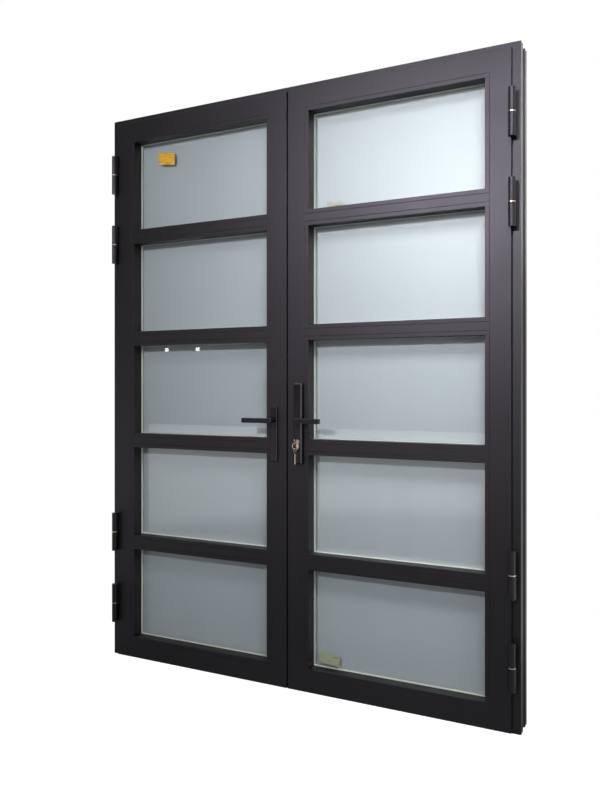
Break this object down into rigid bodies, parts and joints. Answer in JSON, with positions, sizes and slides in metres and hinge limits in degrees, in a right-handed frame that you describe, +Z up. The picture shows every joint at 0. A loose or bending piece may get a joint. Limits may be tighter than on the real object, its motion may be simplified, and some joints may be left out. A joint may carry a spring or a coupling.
{
  "type": "french doors",
  "caption": "Pair of inward-opening metal french doors with frosted insulated panes in five rows, outer frame, threshold, visible hinges, lever handles, shoot bolts and a keyed dead bolt.",
  "frame": {"origin": "on the floor plane under the frame, at the middle of its width and depth", "axes": "+X to the right as seen from the room, +Y out of the room through the doors, +Z up"},
  "size_m": [1.575, 0.167, 2.1],
  "materials": {
    "frame": "powder coated, satin anthracite with a fine sparkle",
    "hardware": "powder coated, satin dark grey",
    "glass": "clear float glass",
    "frosted_glass": "satin etched, pale grey blue",
    "spacer": "mill finish",
    "gasket": "matte black",
    "seal": "matte black",
    "polyamide": "black glass-filled polyamide",
    "cleat": "cast, plain",
    "steel": "zinc plated",
    "brass": "bright",
    "key": "nickel plated"
  },
  "bodies": {
    "frame": {"frame_head": "frame", "frame_jamb_left": "frame", "frame_jamb_right": "frame", "threshold": "frame", "frame_thermal_strips": "polyamide", "frame_seal": "seal", "frame_corner_cleats": "cleat", "frame_hinge_knuckles": "hardware", "hinge_pins": "steel", "hinge_washers": "brass", "bolt_keeps": "steel"},
    "left_leaf": {"left_hinge_stile": "frame", "left_meeting_stile": "frame", "left_top_rail": "frame", "left_bottom_rail": "frame", "left_glazing_bars": "frame", "left_thermal_strips": "polyamide", "left_corner_cleats": "cleat", "left_glazing_beads": "frame", "left_gaskets": "gasket", "left_clear_panes": "glass", "left_spacers": "spacer", "left_frosted_panes": "frosted_glass", "left_seals": "seal", "left_meeting_adaptor": "frame", "left_hinge_knuckles": "hardware", "left_handle_plate": "hardware", "left_handle_screws": "steel", "left_gearbox": "steel", "strike_plate": "steel"},
    "right_leaf": {"right_hinge_stile": "frame", "right_meeting_stile": "frame", "right_top_rail": "frame", "right_bottom_rail": "frame", "right_glazing_bars": "frame", "right_thermal_strips": "polyamide", "right_corner_cleats": "cleat", "right_glazing_beads": "frame", "right_gaskets": "gasket", "right_clear_panes": "glass", "right_spacers": "spacer", "right_frosted_panes": "frosted_glass", "right_seals": "seal", "right_meeting_adaptor": "frame", "right_hinge_knuckles": "hardware", "right_handle_plates": "hardware", "right_handle_screws": "steel", "right_lock_case": "steel", "lock_cylinder": "key"},
    "left_lever": {"left_lever": "hardware"},
    "right_levers": {"right_lever": "hardware", "right_outer_lever": "hardware"},
    "left_top_bolt": {"left_top_bolt": "steel"},
    "left_bottom_bolt": {"left_bottom_bolt": "steel"},
    "right_top_bolt": {"right_top_bolt": "steel"},
    "right_bottom_bolt": {"right_bottom_bolt": "steel"},
    "key": {"cylinder_plug": "key", "keys": "key", "key_ring": "key"},
    "dead_bolt": {"dead_bolt": "steel"}
  },
  "joints": [
    {"name": "left_leaf_hinge", "type": "hinge", "parent": "frame", "child": "left_leaf", "pos_m": [-0.765, -0.07, 0], "axis": [0, 0, -1], "range_deg": [0, 170]},
    {"name": "right_leaf_hinge", "type": "hinge", "parent": "frame", "child": "right_leaf", "pos_m": [0.765, -0.07, 0], "axis": [0, 0, 1], "range_deg": [0, 170]},
    {"name": "left_lever_turn", "type": "hinge", "parent": "left_leaf", "child": "left_lever", "pos_m": [-0.056, -0.066, 0.935], "axis": [0, -1, 0], "range_deg": [0, 90]},
    {"name": "left_top_bolt_slide", "type": "slide", "parent": "left_leaf", "child": "left_top_bolt", "axis": [0, 0, 1], "range_m": [0, 0.016]},
    {"name": "left_bottom_bolt_slide", "type": "slide", "parent": "left_leaf", "child": "left_bottom_bolt", "axis": [0, 0, -1], "range_m": [0, 0.016]},
    {"name": "right_lever_turn", "type": "hinge", "parent": "right_leaf", "child": "right_levers", "pos_m": [0.0428, -0.066, 0.936], "axis": [0, -1, 0], "range_deg": [0, 45]},
    {"name": "right_top_bolt_slide", "type": "slide", "parent": "right_leaf", "child": "right_top_bolt", "axis": [0, 0, 1], "range_m": [0, 0.016]},
    {"name": "right_bottom_bolt_slide", "type": "slide", "parent": "right_leaf", "child": "right_bottom_bolt", "axis": [0, 0, -1], "range_m": [0, 0.016]},
    {"name": "key_turn", "type": "hinge", "parent": "right_leaf", "child": "key", "pos_m": [0.0428, -0.078, 0.864], "axis": [0, 1, 0], "range_deg": [0, 90]},
    {"name": "dead_bolt_slide", "type": "slide", "parent": "right_leaf", "child": "dead_bolt", "axis": [-1, 0, 0], "range_m": [0, 0.02]}
  ],
  "couplings": [
    {"joint": "left_top_bolt_slide", "follows": "left_lever_turn", "m_per_rad": 0.010185},
    {"joint": "left_bottom_bolt_slide", "follows": "left_lever_turn", "m_per_rad": 0.010185},
    {"joint": "right_top_bolt_slide", "follows": "right_lever_turn", "m_per_rad": 0.02037},
    {"joint": "right_bottom_bolt_slide", "follows": "right_lever_turn", "m_per_rad": 0.02037},
    {"joint": "dead_bolt_slide", "follows": "key_turn", "m_per_rad": 0.01273}
  ]
}
